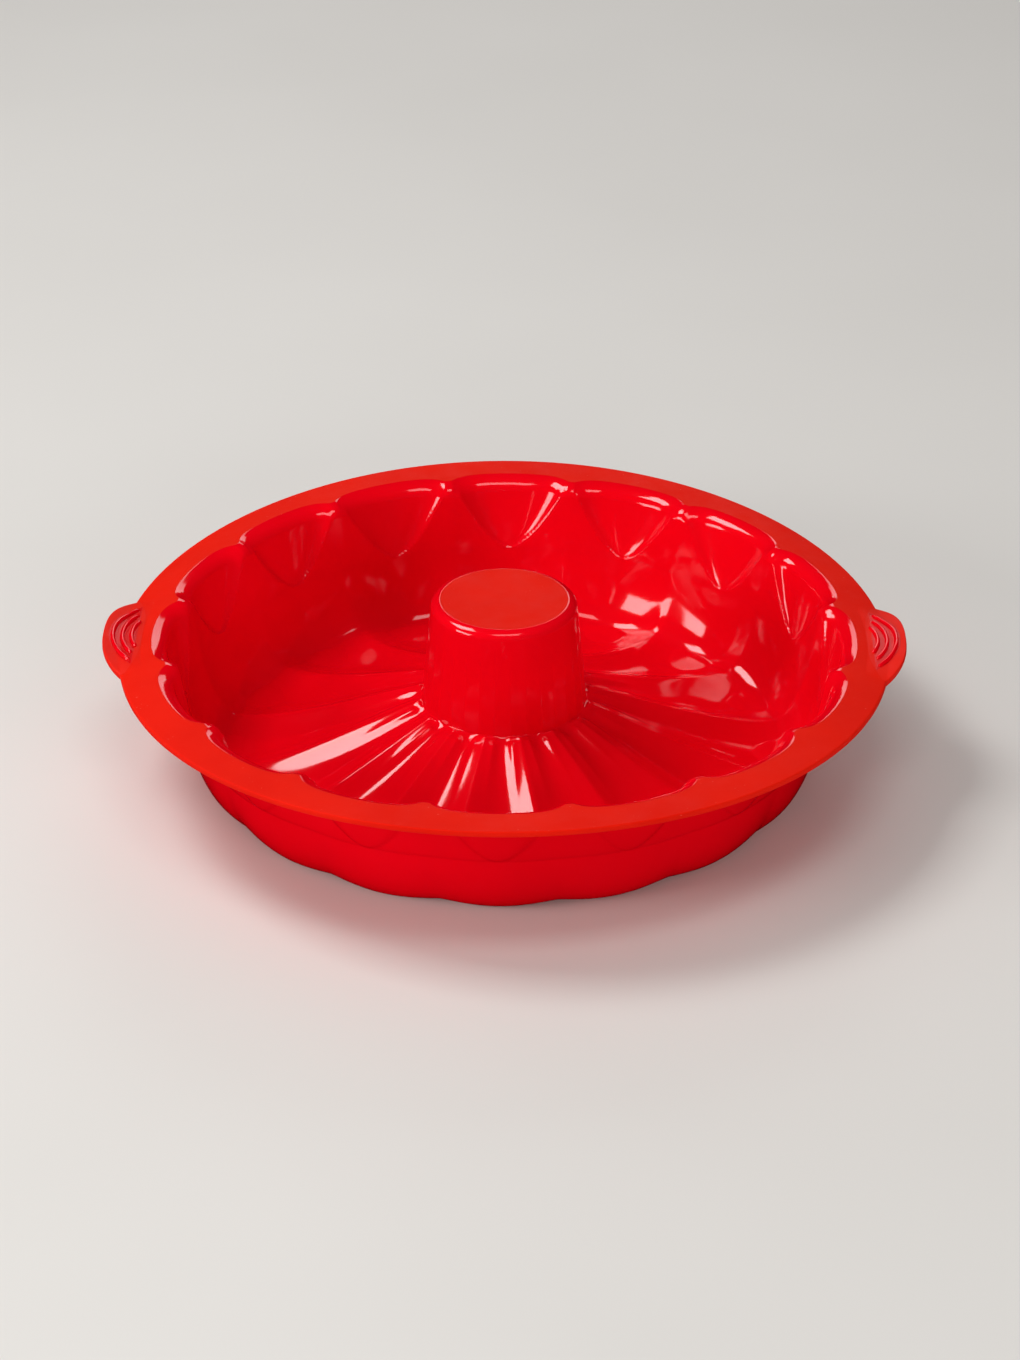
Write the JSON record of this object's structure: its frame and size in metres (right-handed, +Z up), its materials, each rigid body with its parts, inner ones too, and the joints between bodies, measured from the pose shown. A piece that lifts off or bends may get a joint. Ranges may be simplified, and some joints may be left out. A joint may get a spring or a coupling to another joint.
{
  "type": "silicone bundt pan",
  "caption": "Round fluted ring-cake pan in red silicone with a closed centre tube, petal-shaped wall recesses, a flat rim and two ribbed grip tabs.",
  "frame": {"origin": "on the surface that the pan stands on, under the centre of the pan", "axes": "+X towards one grip tab, +Y across the pan, +Z up along the centre tube"},
  "size_m": [0.2612, 0.25, 0.0585],
  "materials": {
    "gloss_silicone": "glossy moulded silicone, saturated red",
    "matte_silicone": "matte, slightly orange red"
  },
  "bodies": {
    "root": {"centre_tube": "gloss_silicone", "fluted_floor": "gloss_silicone", "fluted_corner": "gloss_silicone", "petal_wall": "gloss_silicone", "rim_flange": "matte_silicone", "grip_tab_right": "matte_silicone", "grip_tab_left": "matte_silicone"}
  },
  "joints": []
}
